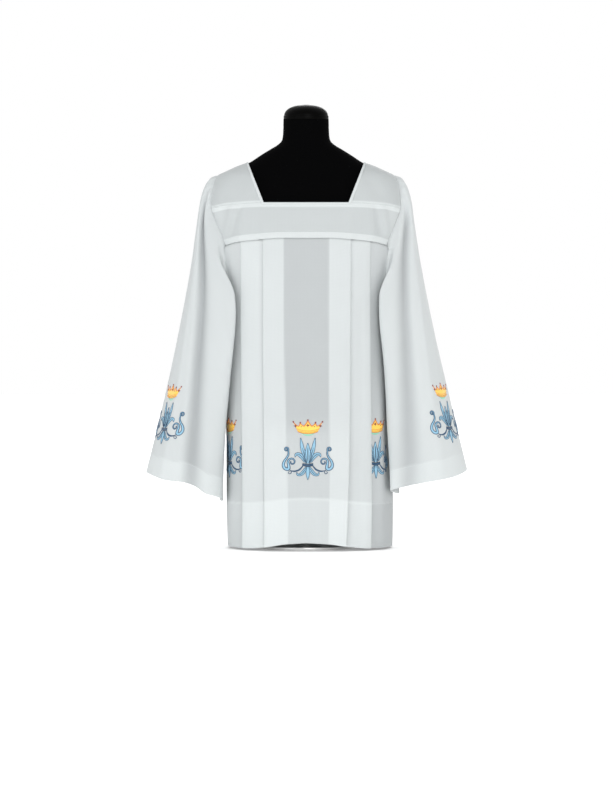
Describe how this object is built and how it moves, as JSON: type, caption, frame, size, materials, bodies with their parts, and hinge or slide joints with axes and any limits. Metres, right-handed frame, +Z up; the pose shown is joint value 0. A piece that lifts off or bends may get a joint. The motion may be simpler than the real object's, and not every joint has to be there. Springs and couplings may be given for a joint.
{
  "type": "surplice on dress form",
  "caption": "White square-necked surplice with a pleated front and back and wide open sleeves, on a black limbless dress form with a round steel stand.",
  "frame": {"origin": "centre of the stand's underside, on the surface that it stands on", "axes": "+Z up; the garment's front faces -Y; +X is to the right of someone looking at the front"},
  "size_m": [0.776, 0.2839, 1.0686],
  "materials": {
    "surplice_cloth": "matt white plain weave, thin enough to let some light through",
    "yoke_cloth": "the same white plain weave, doubled in the yoke",
    "blue_thread": "satin-stitched embroidery thread in light and dark blue",
    "gold_thread": "satin-stitched embroidery thread in golden yellow, orange, red and mint",
    "form_jersey": "matt black jersey cover",
    "neck_cap": "smooth dark neck cap, half gloss",
    "stand_metal": "satin steel"
  },
  "bodies": {
    "root": {"skirt_front": "surplice_cloth", "skirt_back": "surplice_cloth", "sleeve_left": "surplice_cloth", "sleeve_right": "surplice_cloth", "neck_binding": "surplice_cloth", "yoke_band_front": "yoke_cloth", "yoke_band_back": "yoke_cloth", "shoulder_left": "yoke_cloth", "shoulder_right": "yoke_cloth", "form_torso": "form_jersey", "neck_cap": "neck_cap", "stand_base": "stand_metal", "stand_pole": "stand_metal"}
  },
  "joints": []
}
